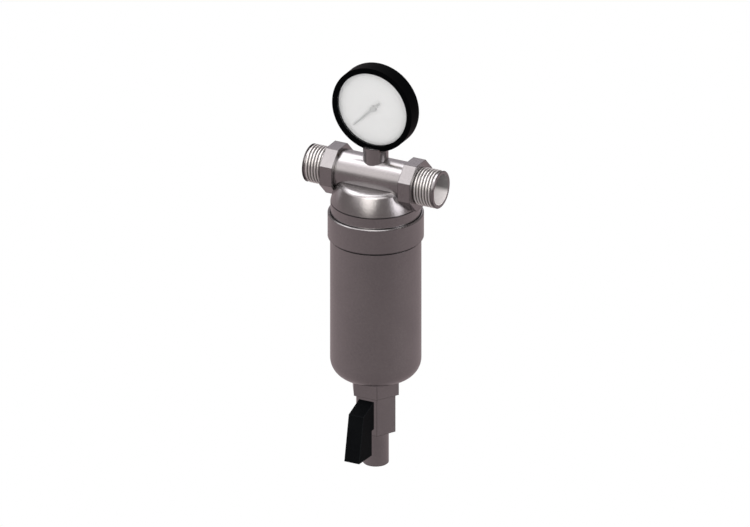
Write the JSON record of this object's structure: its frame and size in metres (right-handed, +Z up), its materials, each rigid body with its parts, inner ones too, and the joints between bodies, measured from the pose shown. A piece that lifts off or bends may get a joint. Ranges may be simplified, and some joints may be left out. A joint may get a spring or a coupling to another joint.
{
  "type": "self-cleaning water filter",
  "caption": "In-line water filter with threaded pipe ends, a pressure gauge on top, a screen inside a metal bowl and a quarter-turn drain valve with a lever under it.",
  "frame": {"origin": "centre of the inlet thread's end face, on the pipe's axis", "axes": "+X along the pipe in the direction of flow, +Z up, the gauge and the drain lever face -Y"},
  "size_m": [0.1, 0.0686, 0.2949],
  "materials": {
    "nickel_plate": "satin nickel plate",
    "chrome_ball": "polished",
    "black_lever": "moulded satin",
    "black_case": "satin black",
    "dial_face": "matt",
    "gauge_glass": "clear",
    "pointer_paint": "matt grey",
    "bare_brass": "machined",
    "seal_rubber": "smooth",
    "seat_plastic": "smooth",
    "cage_plastic": "moulded",
    "steel_mesh": "woven wire",
    "steel_screw": "blackened"
  },
  "bodies": {
    "root": {"head_body": "nickel_plate", "ring_nut": "nickel_plate", "bowl_seal": "seal_rubber", "bowl": "nickel_plate", "screen_cage": "cage_plastic", "screen_mesh": "steel_mesh", "screen_seal": "seal_rubber", "valve_body": "nickel_plate", "valve_gasket": "seal_rubber", "upper_seat": "seat_plastic", "lower_seat": "seat_plastic", "valve_end": "nickel_plate", "gauge_socket": "bare_brass", "gauge_case": "black_case", "gauge_bezel": "black_case", "gauge_window": "gauge_glass", "dial_spacer": "black_case", "dial_plate": "dial_face", "bourdon_tube": "bare_brass", "tube_tip": "bare_brass", "movement_back_plate": "bare_brass", "movement_front_plate": "bare_brass", "movement_pillars": "bare_brass"},
    "drain_control": {"drain_lever": "black_lever", "lever_set_screw": "steel_screw", "valve_stem": "bare_brass", "stem_seal": "seal_rubber", "ball": "chrome_ball"},
    "gauge_sector": {"sector_gear": "bare_brass"},
    "gauge_hand": {"pinion_arbor": "bare_brass", "pointer": "pointer_paint"},
    "gauge_link": {"tip_link": "bare_brass"}
  },
  "joints": [
    {"name": "drain_lever_turn", "type": "hinge", "parent": "root", "child": "drain_control", "pos_m": [0.05, 0, -0.17345], "axis": [0, 1, 0], "range_deg": [0, 90]},
    {"name": "sector_turn", "type": "hinge", "parent": "root", "child": "gauge_sector", "pos_m": [0.06004, 0, 0.0405], "axis": [0, -1, 0], "range_deg": [0, 54], "stiffness_Nm_per_rad": 0.005},
    {"name": "pointer_turn", "type": "hinge", "parent": "root", "child": "gauge_hand", "pos_m": [0.05, 0, 0.05165], "axis": [0, 1, 0], "range_deg": [0, 270]},
    {"name": "link_turn", "type": "hinge", "parent": "gauge_sector", "child": "gauge_link", "pos_m": [0.06405, 0, 0.03846], "axis": [0, -1, 0], "range_deg": [-54, 0]}
  ],
  "couplings": [
    {"joint": "pointer_turn", "follows": "sector_turn", "ratio": 5},
    {"joint": "link_turn", "follows": "sector_turn", "ratio": -1}
  ]
}
